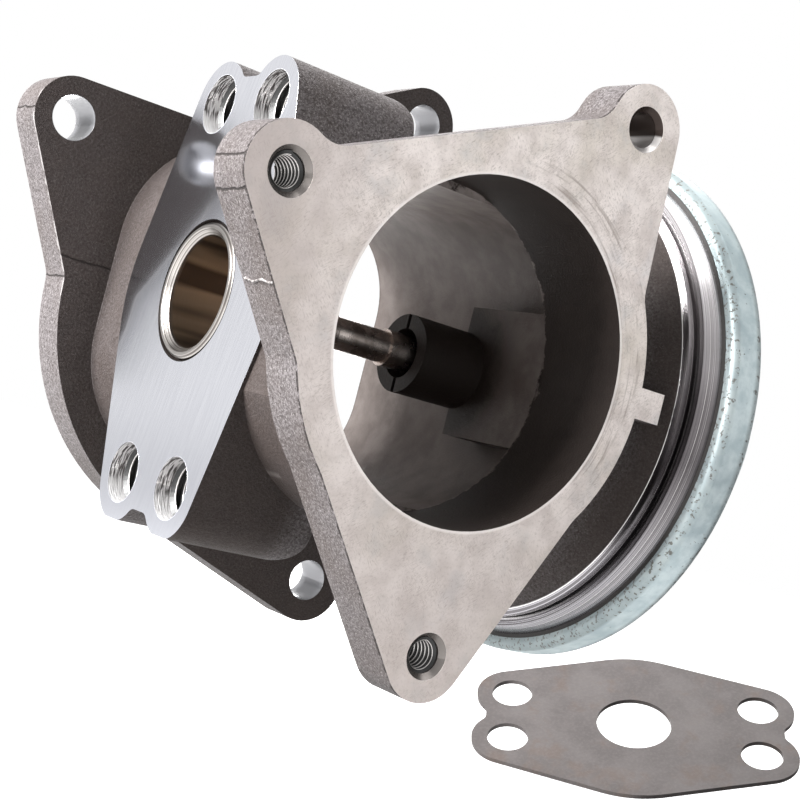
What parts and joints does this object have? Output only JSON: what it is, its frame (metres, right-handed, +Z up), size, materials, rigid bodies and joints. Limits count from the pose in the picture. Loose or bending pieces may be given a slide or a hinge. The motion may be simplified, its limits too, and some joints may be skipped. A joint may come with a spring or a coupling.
{
  "type": "exhaust gas recirculation valve",
  "caption": "Vacuum-worked exhaust gas recirculation valve: a cast air duct between two lobed flanges, with a gas inlet block and a pressed actuator can.",
  "frame": {"origin": "centre of the front air bore on the front flange's machined face", "axes": "+X along the valve stem towards the actuator can, +Y along the air duct from the front flange to the rear flange, +Z up"},
  "size_m": [0.2525, 0.1539, 0.1485],
  "materials": {
    "cast_body": "sand-cast aluminium, flange faces machined",
    "seat_steel": "turned steel, heat tinted inside",
    "insert_steel": "steel thread insert",
    "stem_steel": "ground dark steel",
    "bush_bronze": "sintered bronze",
    "seal_rubber": "black rubber",
    "zinc_steel": "zinc-plated sheet steel",
    "spring_steel": "spring wire",
    "stop_plastic": "moulded plastic",
    "can_steel": "pale blue zinc-plated sheet steel",
    "gasket_steel": "coated sheet steel, satin"
  },
  "bodies": {
    "valve_body": {"housing": "cast_body", "valve_seat": "seat_steel", "inlet_thread_inserts": "insert_steel", "guide_bush": "bush_bronze", "stem_scraper": "seat_steel", "stem_seal": "seal_rubber", "seal_retainer": "zinc_steel", "rim_seal": "seal_rubber", "actuator_can": "can_steel", "vacuum_nipple": "can_steel", "lift_stop": "stop_plastic", "return_spring": "spring_steel", "diaphragm": "seal_rubber"},
    "moving_valve": {"valve_head": "stem_steel", "valve_stem": "stem_steel", "backing_plate": "zinc_steel", "piston_cup": "zinc_steel", "nut_washer": "zinc_steel", "stem_nut": "zinc_steel"},
    "loose_gasket": {"inlet_gasket": "gasket_steel"}
  },
  "joints": [
    {"name": "valve_lift", "type": "slide", "parent": "valve_body", "child": "moving_valve", "axis": [1, 0, 0], "range_m": [0, 0.008], "stiffness_N_per_m": 2200, "springref_m": -0.009, "deforming": ["return_spring", "diaphragm"]},
    {"name": "gasket_lift_off", "type": "slide", "parent": "valve_body", "child": "loose_gasket", "axis": [-0.4812, -0.2871, 0.8283], "range_m": [0, 0.03]}
  ]
}
